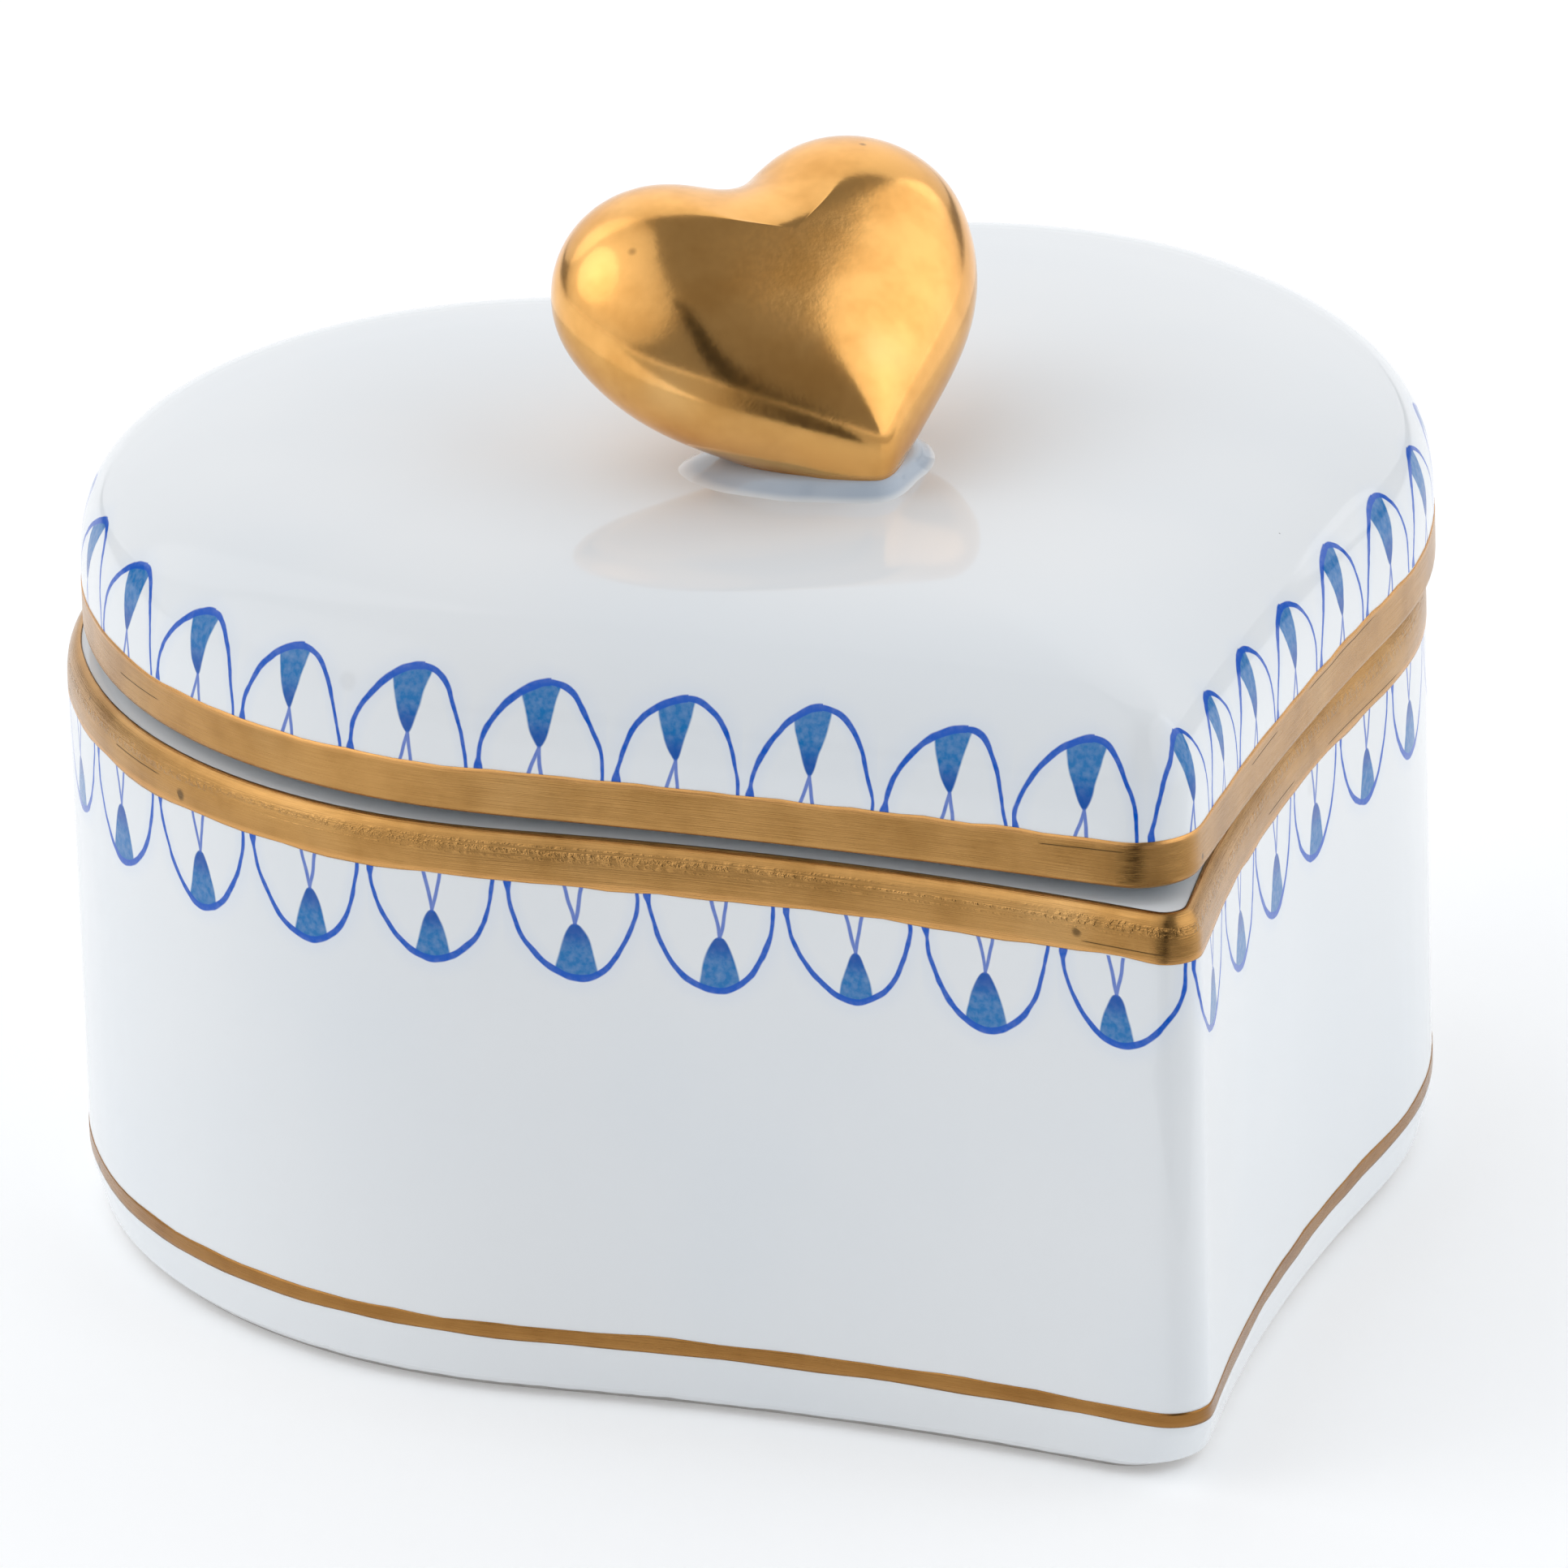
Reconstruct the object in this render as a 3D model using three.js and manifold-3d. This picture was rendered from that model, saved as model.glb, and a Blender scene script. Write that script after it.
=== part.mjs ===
// A heart-shaped porcelain trinket box: a footed bowl, a loose domed lid that drops over the bowl's
// gallery, a gilded heart knob luted to the lid, and fired gilding round both rims and the foot.
// Millimetres, +Z up, the heart's tip towards -Y, origin at the middle of the footprint on the table.
import * as THREE from "three";
import { mergeVertices } from "three/addons/utils/BufferGeometryUtils.js";
import Module from "manifold-3d";

// ---- Driving dimensions -------------------------------------------------------------------------

// A heart in plan: two round lobes, full flanks, a slight waist and a small round tip at -Y.
const bowlHeart = {
  lobeSpacing: 24.2,
  lobeRadius: 25.5,
  tipReach: 54.8, // from the line through the lobes' centres to the end of the tip
  tipRadius: 1.9,
  flankRadius: 32.4,
  flankTurn: 18.9, // degrees above +X where the flank runs into the lobe
  waistRadius: 140,
  cleftRadius: 4.4,
  middle: -8, // the point on the axis that outlines shrink to
};
// The lid's mould is a little smaller, straighter at the waist and rounder at the tip.
const lidLobeTrim = 0.3;
const lidTipTrim = 2.4;
const lidHeart = {
  ...bowlHeart,
  lobeRadius: bowlHeart.lobeRadius - lidLobeTrim,
  tipReach: bowlHeart.tipReach - lidTipTrim,
  tipRadius: 3.4,
  waistRadius: 290,
};
const knobHeart = {
  lobeSpacing: 11.4,
  lobeRadius: 6.6,
  tipReach: 14.4,
  tipRadius: 1.4,
  flankRadius: 11,
  flankTurn: -5,
  waistRadius: 200,
  cleftRadius: 1.3,
  middle: -2.5,
};

// The bowl.
const bowlHeight = 32.9; // up to the rim
const bowlWall = 4.4;
const bowlFloor = 3.6;
const floorRound = 3; // between wall and floor
const rimEdge = 0.5; // the rim's rounded outer edge
const footRoundWidth = 1.5;
const footRoundHeight = 2.8;
const footRingWidth = 3.0;
const footRecess = 0.9;

// The gallery stands up inside the rim, and the lid drops over it.
const galleryHeight = 3.2;
const galleryWall = 1.7;
const galleryClearance = 1.25; // all round, so the lid can rest a little to one side

// The lid.
const lidReveal = 0.9; // the open line between the two gilded rims
const lidRimWall = 2.0;
const lidRimHeight = 2.7; // the upright part of the rim, as high as its gilding
const lidEdge = 0.35; // the rim's rounded lower edge
const shoulderWidth = 14;
const shoulderHeight = 9.1;
const lidRoof = 3.4;
const lidShiftX = 0.65; // where the loose lid has come to rest
const lidShiftY = -0.34;
const lidTurn = -0.47; // degrees

// The knob: a puffed heart, tip down to the front and lobes up to the back, trimmed flat on its pad.
const knobFlatness = 0.8; // thickness as a share of the lobes' roundness
const knobTilt = 36; // degrees up from level
const knobTurn = 6.5; // degrees round the upright axis
const knobRoll = -3; // degrees, right lobe up
const knobOffCentreX = -2.9;
const knobBack = -10.2; // the lobes' line, in the lid's heart
const knobLift = 9.1; // the lobes' line above the lid's top
const padRise = 0.9; // thickness of the luting pad under the knob
const padReach = 1.1; // how far the pad shows round the knob

// Gilding: closed skins let into the glaze.
const gildingDepth = 0.25;
const bowlBandHeight = 2.6;
const bowlLedgeGilding = 0.85; // width of the gilding on top of the rim
const footLineHeight = 0.9;
const footLineMiddle = 3.95;

// How finely the curves are divided.
const tipSteps = 4;
const waistSteps = 4;
const flankSteps = 8;
const lobeSteps = 13;
const cleftSteps = 3;
const footSteps = 4;
const shoulderSteps = 6;
const puffSteps = 5;
const insideTipRadius = 0.8; // roundness of the tip where an inner outline would come to a point
const tipSoftening = 0.45; // how much rounder the tip gets with each millimetre inwards
const leastCleftRadius = 0.3;

// ---- Materials ----------------------------------------------------------------------------------

const porcelain = () => new THREE.MeshStandardMaterial({ color: 0xf1f3f5, roughness: 0.12, metalness: 0 });
const gold = () => new THREE.MeshStandardMaterial({ color: 0xc8924a, roughness: 0.28, metalness: 1 });

// ---- The heart outline --------------------------------------------------------------------------

const rad = THREE.MathUtils.degToRad;
const angleTo = (from, to) => Math.atan2(to.y - from.y, to.x - from.x);

// The centre of the circle of this radius that touches two others from outside, on the right.
function touchingCentre(c0, r0, c1, r1, radius) {
  const gap = c0.distanceTo(c1);
  const along = ((r0 + radius) ** 2 - (r1 + radius) ** 2 + gap ** 2) / (2 * gap);
  const across = Math.sqrt((r0 + radius) ** 2 - along ** 2);
  const u = c1.clone().sub(c0).normalize();
  return new THREE.Vector2(c0.x + along * u.x + across * u.y, c0.y + along * u.y - across * u.x);
}

// An arc as a three.js curve, the short way round, cut into steps.
function arcPoints(centre, radius, from, to, steps) {
  const curve = new THREE.EllipseCurve(centre.x, centre.y, radius, radius, from, to, to < from, 0);
  return curve.getPoints(steps);
}

// The heart's outline drawn in by inset, counterclockwise from the tip, lobe centres on the X axis.
function heartOutline(heart, inset) {
  // The arcs keep their centres as the outline is drawn in, and only their radii change.
  const lobe = new THREE.Vector2(heart.lobeSpacing / 2, 0);
  const turn = rad(heart.flankTurn);
  const flankShift = heart.flankRadius - heart.lobeRadius;
  const flank = new THREE.Vector2(lobe.x - flankShift * Math.cos(turn), -flankShift * Math.sin(turn));
  const tip = new THREE.Vector2(0, heart.tipRadius - heart.tipReach);
  const waist = touchingCentre(tip, heart.tipRadius, flank, heart.flankRadius, heart.waistRadius);
  const waistRadius = heart.waistRadius + inset;
  const lobeRadius = heart.lobeRadius - inset;

  // The tip and the cleft keep a least radius, and slide along the axis to stay tangent.
  const tipRadius = Math.max(heart.tipRadius - inset, insideTipRadius + tipSoftening * inset);
  tip.y = waist.y + Math.sqrt((waistRadius + tipRadius) ** 2 - waist.x ** 2);
  const cleftRadius = Math.max(heart.cleftRadius + inset, leastCleftRadius);
  const cleft = new THREE.Vector2(0, Math.sqrt((lobeRadius + cleftRadius) ** 2 - lobe.x ** 2));

  const down = -Math.PI / 2;
  const right = [
    ...arcPoints(tip, tipRadius, down, angleTo(tip, waist), tipSteps),
    ...arcPoints(waist, waistRadius, angleTo(waist, tip), angleTo(waist, flank), waistSteps).slice(1),
    ...arcPoints(flank, heart.flankRadius - inset, angleTo(flank, waist), turn, flankSteps).slice(1),
    ...arcPoints(lobe, lobeRadius, turn, angleTo(lobe, cleft), lobeSteps).slice(1),
    ...arcPoints(cleft, cleftRadius, angleTo(cleft, lobe), down, cleftSteps).slice(1),
  ];
  const left = right.slice(1, -1).reverse();
  return [...right, ...left.map((p) => new THREE.Vector2(-p.x, p.y))];
}

// ---- Solids from stacked outlines ---------------------------------------------------------------

// One level of a solid: a heart drawn in by inset, at height z.
const level = (heart, inset, z) => ({ heart, inset, z });

// A closed body from levels in order, up the outside and down the inside. A filled body closes its
// first and last levels with a face each; a ring joins its last level to its first.
function stack(levels, filled) {
  const rings = levels.map(({ heart, inset, z }) =>
    heartOutline(heart, inset).map((p) => new THREE.Vector3(p.x, p.y, z)),
  );
  const count = rings[0].length;
  const points = rings.flat();
  const index = [];
  const bands = filled ? rings.length - 1 : rings.length;
  for (let k = 0; k < bands; k++) {
    const low = k * count;
    const high = ((k + 1) % rings.length) * count;
    for (let i = 0; i < count; i++) {
      const j = (i + 1) % count;
      index.push(low + i, low + j, high + j);
      index.push(low + i, high + j, high + i);
    }
  }
  if (filled) {
    const last = rings.length - 1;
    const lowMiddle = points.push(new THREE.Vector3(0, levels[0].heart.middle, levels[0].z)) - 1;
    const highMiddle = points.push(new THREE.Vector3(0, levels[last].heart.middle, levels[last].z)) - 1;
    for (let i = 0; i < count; i++) {
      const j = (i + 1) % count;
      index.push(lowMiddle, j, i);
      index.push(highMiddle, last * count + i, last * count + j);
    }
  }
  const geometry = new THREE.BufferGeometry().setFromPoints(points);
  geometry.setIndex(index);
  return geometry;
}

// ---- Joining and cutting ------------------------------------------------------------------------

const wasm = await Module();
wasm.setup();

function solidFrom(geometry) {
  const bare = geometry.clone();
  bare.deleteAttribute("normal");
  bare.deleteAttribute("uv");
  const merged = mergeVertices(bare);
  const vertProperties = merged.attributes.position.array;
  const triVerts = new Uint32Array(merged.index.array);
  return new wasm.Manifold(new wasm.Mesh({ numProp: 3, vertProperties, triVerts }));
}

function geometryFrom(solid) {
  const mesh = solid.getMesh();
  const geometry = new THREE.BufferGeometry();
  geometry.setAttribute("position", new THREE.BufferAttribute(mesh.vertProperties, 3));
  geometry.setIndex(new THREE.BufferAttribute(mesh.triVerts, 1));
  return geometry;
}

// A level slab, wider than any piece, for trimming at given heights.
function slab(lowZ, highZ) {
  const reach = 4 * bowlHeart.tipReach;
  return new THREE.BoxGeometry(reach, reach, highZ - lowZ).translate(0, 0, (lowZ + highZ) / 2);
}

// ---- Heights and insets that follow from the dimensions -----------------------------------------

const rimZ = bowlHeight;
const bowlBandLowZ = rimZ - bowlBandHeight;
const footLineLowZ = footLineMiddle - footLineHeight / 2;
const footLineHighZ = footLineLowZ + footLineHeight;
const galleryTopZ = rimZ + galleryHeight;
const galleryFootZ = rimZ - galleryHeight;
const lidEdgeZ = rimZ + lidReveal;
const lidBandTopZ = lidEdgeZ + lidRimHeight;
const lidTopZ = lidBandTopZ + shoulderHeight;
const padTopZ = lidTopZ + padRise;

// The gallery and the lid's seat are measured on the lid's heart, so that they stay a fit.
const galleryOuter = lidRimWall + galleryClearance;
const galleryInner = galleryOuter + galleryWall;
const seatInner = galleryInner + galleryClearance;

// Grooves that the gilding lies in, from low to high. The skins and the porcelain share them.
const footGroove = [
  level(bowlHeart, gildingDepth, footLineLowZ),
  level(bowlHeart, gildingDepth, footLineHighZ),
];
const bowlGroove = [
  level(bowlHeart, gildingDepth, bowlBandLowZ),
  level(bowlHeart, gildingDepth, rimZ - rimEdge),
  level(bowlHeart, rimEdge, rimZ - gildingDepth),
  level(bowlHeart, bowlLedgeGilding, rimZ - gildingDepth),
];
const lidGroove = [
  level(lidHeart, lidEdge + gildingDepth, lidEdgeZ),
  level(lidHeart, gildingDepth, lidEdgeZ + lidEdge),
  level(lidHeart, gildingDepth, lidBandTopZ),
];

// ---- The bowl -----------------------------------------------------------------------------------

// The wall's turn in to the foot ring, a quarter ellipse in section.
function footRound() {
  const levels = [];
  for (let k = 0; k <= footSteps; k++) {
    const turn = (k / footSteps) * (Math.PI / 2);
    const inset = footRoundWidth * (1 - Math.sin(turn));
    levels.push(level(bowlHeart, inset, footRoundHeight * (1 - Math.cos(turn))));
  }
  return levels;
}

function bowlGeometry() {
  const recessInset = footRoundWidth + footRingWidth;
  const roundMiddle = floorRound * (1 - Math.SQRT1_2);
  return stack(
    [
      level(bowlHeart, recessInset + footRecess, footRecess),
      level(bowlHeart, recessInset, 0),
      ...footRound(),
      level(bowlHeart, 0, footLineLowZ),
      ...footGroove,
      level(bowlHeart, 0, footLineHighZ),
      level(bowlHeart, 0, bowlBandLowZ),
      ...bowlGroove,
      level(bowlHeart, bowlLedgeGilding, rimZ),
      level(lidHeart, galleryOuter, rimZ),
      level(lidHeart, galleryOuter, galleryTopZ),
      level(lidHeart, galleryInner, galleryTopZ),
      level(lidHeart, galleryInner, rimZ),
      level(bowlHeart, bowlWall, galleryFootZ),
      level(bowlHeart, bowlWall, bowlFloor + floorRound),
      level(bowlHeart, bowlWall + roundMiddle, bowlFloor + roundMiddle),
      level(bowlHeart, bowlWall + floorRound, bowlFloor),
    ],
    true,
  );
}

// ---- The lid ------------------------------------------------------------------------------------

// A quarter ellipse in section, from the outline at fromInset up and in to the flat top.
function shoulder(fromInset, lowZ, highZ) {
  const levels = [];
  for (let k = 0; k <= shoulderSteps; k++) {
    const turn = (k / shoulderSteps) * (Math.PI / 2);
    const inset = fromInset + (shoulderWidth - fromInset) * (1 - Math.cos(turn));
    levels.push(level(lidHeart, inset, lowZ + (highZ - lowZ) * Math.sin(turn)));
  }
  return levels;
}

function lidGeometry() {
  return stack(
    [
      ...shoulder(seatInner, galleryTopZ, lidTopZ - lidRoof).reverse(),
      level(lidHeart, lidRimWall, galleryTopZ),
      level(lidHeart, lidRimWall, lidEdgeZ),
      ...lidGroove,
      ...shoulder(0, lidBandTopZ, lidTopZ),
    ],
    true,
  );
}

// ---- Gilding ------------------------------------------------------------------------------------

// A skin fills its groove up to the face given from high to low.
const gildingSkin = (groove, face) => stack([...groove, ...face].reverse(), false);

function footLineGeometry() {
  return gildingSkin(footGroove, [
    level(bowlHeart, 0, footLineHighZ),
    level(bowlHeart, 0, footLineLowZ),
  ]);
}

function bowlBandGeometry() {
  return gildingSkin(bowlGroove, [
    level(bowlHeart, bowlLedgeGilding, rimZ),
    level(bowlHeart, rimEdge, rimZ),
    level(bowlHeart, 0, rimZ - rimEdge),
    level(bowlHeart, 0, bowlBandLowZ),
  ]);
}

function lidBandGeometry() {
  return gildingSkin(lidGroove, [
    level(lidHeart, 0, lidBandTopZ),
    level(lidHeart, 0, lidEdgeZ + lidEdge),
    level(lidHeart, lidEdge, lidEdgeZ),
  ]);
}

// ---- The knob -----------------------------------------------------------------------------------

// The knob's heart, drawn out by grow, puffed as if a ball had been rolled inside its outline.
function puffedHeart(grow) {
  const ball = knobHeart.lobeRadius + grow;
  const levels = [];
  for (let k = -puffSteps; k <= puffSteps; k++) {
    const turn = (k / puffSteps) * rad(76);
    levels.push(level(knobHeart, ball * (1 - Math.cos(turn)) - grow, knobFlatness * ball * Math.sin(turn)));
  }
  return stack(levels, true);
}

// The knob's place on the lid: roll, then tilt, then turn, then move.
const knobPlace = new THREE.Matrix4()
  .makeTranslation(knobOffCentreX, knobBack, lidTopZ + knobLift)
  .multiply(new THREE.Matrix4().makeRotationZ(rad(knobTurn)))
  .multiply(new THREE.Matrix4().makeRotationX(rad(knobTilt)))
  .multiply(new THREE.Matrix4().makeRotationY(rad(knobRoll)));

function knobGeometry() {
  const heart = solidFrom(puffedHeart(0).applyMatrix4(knobPlace));
  return geometryFrom(heart.subtract(solidFrom(slab(0, padTopZ))));
}

function padGeometry() {
  const heart = solidFrom(puffedHeart(padReach).applyMatrix4(knobPlace));
  return geometryFrom(heart.intersect(solidFrom(slab(lidTopZ, padTopZ))));
}

// ---- The assembly -------------------------------------------------------------------------------

function piece(name, geometry, material) {
  const mesh = new THREE.Mesh(geometry, material);
  mesh.name = name;
  return mesh;
}

const bowl = new THREE.Group();
bowl.add(piece("bowl", bowlGeometry(), porcelain()));
bowl.add(piece("bowl_rim_gilding", bowlBandGeometry(), gold()));
bowl.add(piece("foot_line_gilding", footLineGeometry(), gold()));

const lid = new THREE.Group();
lid.add(piece("lid", lidGeometry(), porcelain()));
lid.add(piece("lid_rim_gilding", lidBandGeometry(), gold()));
lid.add(piece("knob_seat", padGeometry(), porcelain()));
lid.add(piece("heart_knob", knobGeometry(), gold()));
lid.position.set(lidShiftX, lidShiftY, 0);
lid.rotation.z = rad(lidTurn);

// The middle of the bowl's footprint goes to the origin.
const footprint = new THREE.Box2().setFromPoints(heartOutline(bowlHeart, 0));
const box = new THREE.Group();
box.add(bowl, lid);
box.position.y = -footprint.getCenter(new THREE.Vector2()).y;

const trinketBox = new THREE.Group();
trinketBox.add(box);

export default trinketBox;
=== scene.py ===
# %% [markdown]
# # A heart-shaped porcelain trinket box
# The box is a footed porcelain bowl with a loose domed lid. A gilded heart knob is luted to the lid,
# both rims and the foot carry fired gilding, and a cobalt border of scallops is painted by hand
# above and below the rims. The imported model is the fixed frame: it says where everything goes.

import math

import bmesh
import bpy
import numpy as np
from mathutils import Matrix, Vector


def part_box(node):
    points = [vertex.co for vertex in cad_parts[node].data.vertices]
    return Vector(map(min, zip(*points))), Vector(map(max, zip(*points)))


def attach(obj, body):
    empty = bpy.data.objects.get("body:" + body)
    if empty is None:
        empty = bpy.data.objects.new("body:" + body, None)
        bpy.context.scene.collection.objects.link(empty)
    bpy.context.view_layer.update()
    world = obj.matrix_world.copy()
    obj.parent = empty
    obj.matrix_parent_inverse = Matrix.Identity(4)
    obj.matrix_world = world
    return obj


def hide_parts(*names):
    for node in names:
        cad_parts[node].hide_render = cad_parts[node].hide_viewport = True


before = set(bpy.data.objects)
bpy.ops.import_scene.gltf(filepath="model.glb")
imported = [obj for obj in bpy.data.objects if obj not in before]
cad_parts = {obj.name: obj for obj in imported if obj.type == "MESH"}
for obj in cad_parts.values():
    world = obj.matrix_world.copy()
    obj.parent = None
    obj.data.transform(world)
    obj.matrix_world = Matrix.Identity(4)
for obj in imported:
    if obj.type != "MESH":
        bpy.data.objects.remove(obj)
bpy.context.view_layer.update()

# %% [markdown]
# ## Sizes
# Heights come from the frame, so a piece always meets its neighbours. The design's own small sizes,
# such as a wall or a radius, are written here in millimetres, the unit a potter would use.

# %% Sizes from the frame and from the workshop
MM = 0.001

rim_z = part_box("bowl_rim_gilding")[1].z / MM
bowl_band_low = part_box("bowl_rim_gilding")[0].z / MM
foot_line_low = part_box("foot_line_gilding")[0].z / MM
foot_line_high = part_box("foot_line_gilding")[1].z / MM
gallery_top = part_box("bowl")[1].z / MM
lid_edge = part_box("lid_rim_gilding")[0].z / MM
lid_band_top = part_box("lid_rim_gilding")[1].z / MM
lid_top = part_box("lid")[1].z / MM
pad_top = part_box("knob_seat")[1].z / MM
print(f"rim at {rim_z:.1f} mm, lid edge at {lid_edge:.1f} mm, lid top at {lid_top:.1f} mm")

# %% [markdown]
# ## The heart outline
# The real box is slip-cast in a plaster mould whose plan is a heart: two round lobes, full flanks, a
# slight waist and a small round tip. Five tangent arcs to a side draw it. Drawing the outline in
# keeps the arcs' centres and only changes their radii, so every wall stays evenly thick.

# %% The mould's hearts, in millimetres
bowl_heart = dict(lobe_spacing=24.2, lobe=25.5, reach=54.8, tip=1.9,
                  flank=32.4, turn=18.9, waist=140, cleft=4.4)
lid_heart = dict(bowl_heart, lobe=25.2, reach=52.4, tip=3.4, waist=290)
knob_heart = dict(lobe_spacing=11.2, lobe=6.7, reach=14.4, tip=1.4,
                  flank=11, turn=-5, waist=200, cleft=3.0)

RING_STEPS = (10, 26, 26, 96, 14)  # tip, waist, flank, lobe and cleft
SOFTENING_PASSES = 5  # how far the joints between arcs are rubbed down
SMALLEST_TIP, TIP_GROWTH = 0.8, 0.45  # a tip drawn in never gets sharper than this
SMALLEST_CLEFT = 0.3


def touching_centre(c0, r0, c1, r1, radius):
    """The centre of the circle that touches two others from outside, on their right."""
    gap = abs(c1 - c0)
    along = ((r0 + radius) ** 2 - (r1 + radius) ** 2 + gap**2) / (2 * gap)
    across = math.sqrt((r0 + radius) ** 2 - along**2)
    return c0 + (c1 - c0) / gap * complex(along, -across)


def heading(start, end):
    """The direction from one point to another, in radians."""
    return float(np.angle(end - start))


def arc(centre, radius, start, end, steps):
    """Points along an arc after its first one."""
    return centre + radius * np.exp(1j * np.linspace(start, end, steps + 1)[1:])


def outline(heart, inset=0.0, steps=RING_STEPS):
    """The heart drawn in by inset, counterclockwise from the cleft, as complex numbers."""
    turn = math.radians(heart["turn"])
    lobe = complex(heart["lobe_spacing"] / 2, 0)
    flank = lobe - (heart["flank"] - heart["lobe"]) * complex(math.cos(turn), math.sin(turn))
    tip = complex(0, heart["tip"] - heart["reach"])
    waist = touching_centre(tip, heart["tip"], flank, heart["flank"], heart["waist"])
    tip_radius = max(heart["tip"] - inset, SMALLEST_TIP + TIP_GROWTH * inset, heart.get("blunt", 0))
    tip = complex(0, waist.imag + math.sqrt((heart["waist"] + inset + tip_radius) ** 2 - waist.real**2))
    lobe_radius = heart["lobe"] - inset
    cleft_radius = max(heart["cleft"] + inset, SMALLEST_CLEFT)
    cleft = complex(0, math.sqrt((lobe_radius + cleft_radius) ** 2 - lobe.real**2))
    down = -math.pi / 2
    right = np.concatenate([
        [tip - 1j * tip_radius],
        arc(tip, tip_radius, down, heading(tip, waist), steps[0]),
        arc(waist, heart["waist"] + inset, heading(waist, tip), heading(waist, flank), steps[1]),
        arc(flank, heart["flank"] - inset, heading(flank, waist), turn, steps[2]),
        arc(lobe, lobe_radius, turn, heading(lobe, cleft), steps[3]),
        arc(cleft, cleft_radius, heading(cleft, lobe), down, steps[4]),
    ])
    left = -right[1:-1].conj()[::-1]
    loop = np.roll(np.concatenate([right, left]), -(len(right) - 1))
    for _ in range(SOFTENING_PASSES):
        loop = (np.roll(loop, 1) + 2 * loop + np.roll(loop, -1)) / 4
    return loop


def distance_round(loop):
    """How far round each point is, in mm from the tip, growing counterclockwise, and the whole way."""
    steps = np.abs(np.diff(np.append(loop, loop[0])))
    travelled = np.append(0, np.cumsum(steps))
    return travelled[:-1] - travelled[len(loop) // 2], travelled[-1]


ring_count = len(outline(bowl_heart))
centre_y = (outline(bowl_heart).imag.max() + outline(bowl_heart).imag.min()) / 2
print(f"{ring_count} points to a ring, {distance_round(outline(bowl_heart))[1]:.1f} mm round the bowl")

# %% [markdown]
# ## Drawing up a wall
# A plaster template is dragged along the mould's edge to shape a rim. The same is done here: a
# circle is laid out as the first heart, and each level of the template is an extrusion of the last
# ring, moved on to its own heart. Corners of the template are rounded, as glaze rounds them.


# %% Templates with rounded corners
def template(*corners, steps=6):
    """A section as (inset, height) points, from corners of (inset, height, radius)."""
    points = []
    for k, (inset, height, radius) in enumerate(corners):
        here = complex(inset, height)
        if radius == 0 or k in (0, len(corners) - 1):
            points.append(here)
            continue
        before = complex(*corners[k - 1][:2]) - here
        after = complex(*corners[k + 1][:2]) - here
        before, after = before / abs(before), after / abs(after)
        half = abs(np.angle(after / before)) / 2
        reach = radius / math.tan(half)
        start, end = here + before * reach, here + after * reach
        for t in np.linspace(0, 1, steps + 1):
            points.append((1 - t) ** 2 * start + 2 * t * (1 - t) * here + t**2 * end)
    return [(p.real, p.imag) for p in points]


def level(heart, inset, height):
    return dict(heart=heart, inset=inset, height=height)


def levels(heart, points):
    return [level(heart, inset, height) for inset, height in points]


# %% [markdown]
# ## Rings that remember their place
# Every point keeps two marks while the wall grows: "around" is its number in the ring, and "climb" is
# how far along the template it was reached. The painter's map is made from both later on.

# %% Extruding one ring after another
def start_ring(name, count):
    """A circle with its points numbered round, left open in edit mode."""
    bpy.ops.object.select_all(action="DESELECT")
    bpy.ops.mesh.primitive_circle_add(vertices=count, radius=MM)
    piece = bpy.context.object
    piece.name = piece.data.name = name
    bpy.ops.object.mode_set(mode="EDIT")
    bpy.ops.mesh.select_all(action="SELECT")
    sheet = bmesh.from_edit_mesh(piece.data)
    around = sheet.verts.layers.int.new("around")
    sheet.verts.layers.float.new("climb")
    sheet.verts.ensure_lookup_table()
    for k, vertex in enumerate(sheet.verts):
        vertex[around] = k
    return piece


def place_ring(piece, points, heights, climb):
    """Moves the selected ring on to the points given, all in mm."""
    sheet = bmesh.from_edit_mesh(piece.data)
    around = sheet.verts.layers.int["around"]
    along = sheet.verts.layers.float["climb"]
    for vertex in sheet.verts:
        if vertex.select:
            k = vertex[around]
            vertex.co = (points[k].real * MM, points[k].imag * MM, heights[k] * MM)
            vertex[along] = climb
    bmesh.update_edit_mesh(piece.data)


def draw_up(name, sections, wobble=None, close="middle", rows=6):
    """A piece from its levels. Its ends close on the middle, or the last ring meets the first ("ends")."""
    piece = start_ring(name, ring_count)
    climb = 0.0
    for k, section in enumerate(sections):
        loop = outline(section["heart"], section["inset"])
        heights = np.full(ring_count, float(section["height"]))
        if wobble is not None:
            heights = heights + wobble[k]
        if k:
            last = sections[k - 1]
            climb += math.hypot(section["inset"] - last["inset"], section["height"] - last["height"])
            bpy.ops.mesh.extrude_edges_move()
        place_ring(piece, loop, heights, climb)
    if close == "middle":
        close_on_middle(piece, sections[-1], climb, rows)
        bpy.ops.mesh.select_all(action="DESELECT")
        bpy.ops.mesh.select_non_manifold()
        close_on_middle(piece, sections[0], -1.0, rows)
    elif close == "ends":
        bpy.ops.mesh.select_all(action="DESELECT")
        bpy.ops.mesh.select_non_manifold()
        bpy.ops.mesh.bridge_edge_loops()
    bpy.ops.mesh.select_all(action="SELECT")
    bpy.ops.mesh.normals_make_consistent(inside=False)
    bpy.ops.object.mode_set(mode="OBJECT")
    bpy.ops.object.shade_smooth()
    print(f"{name}: {len(sections)} levels, {len(piece.data.polygons)} faces")
    return piece


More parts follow.
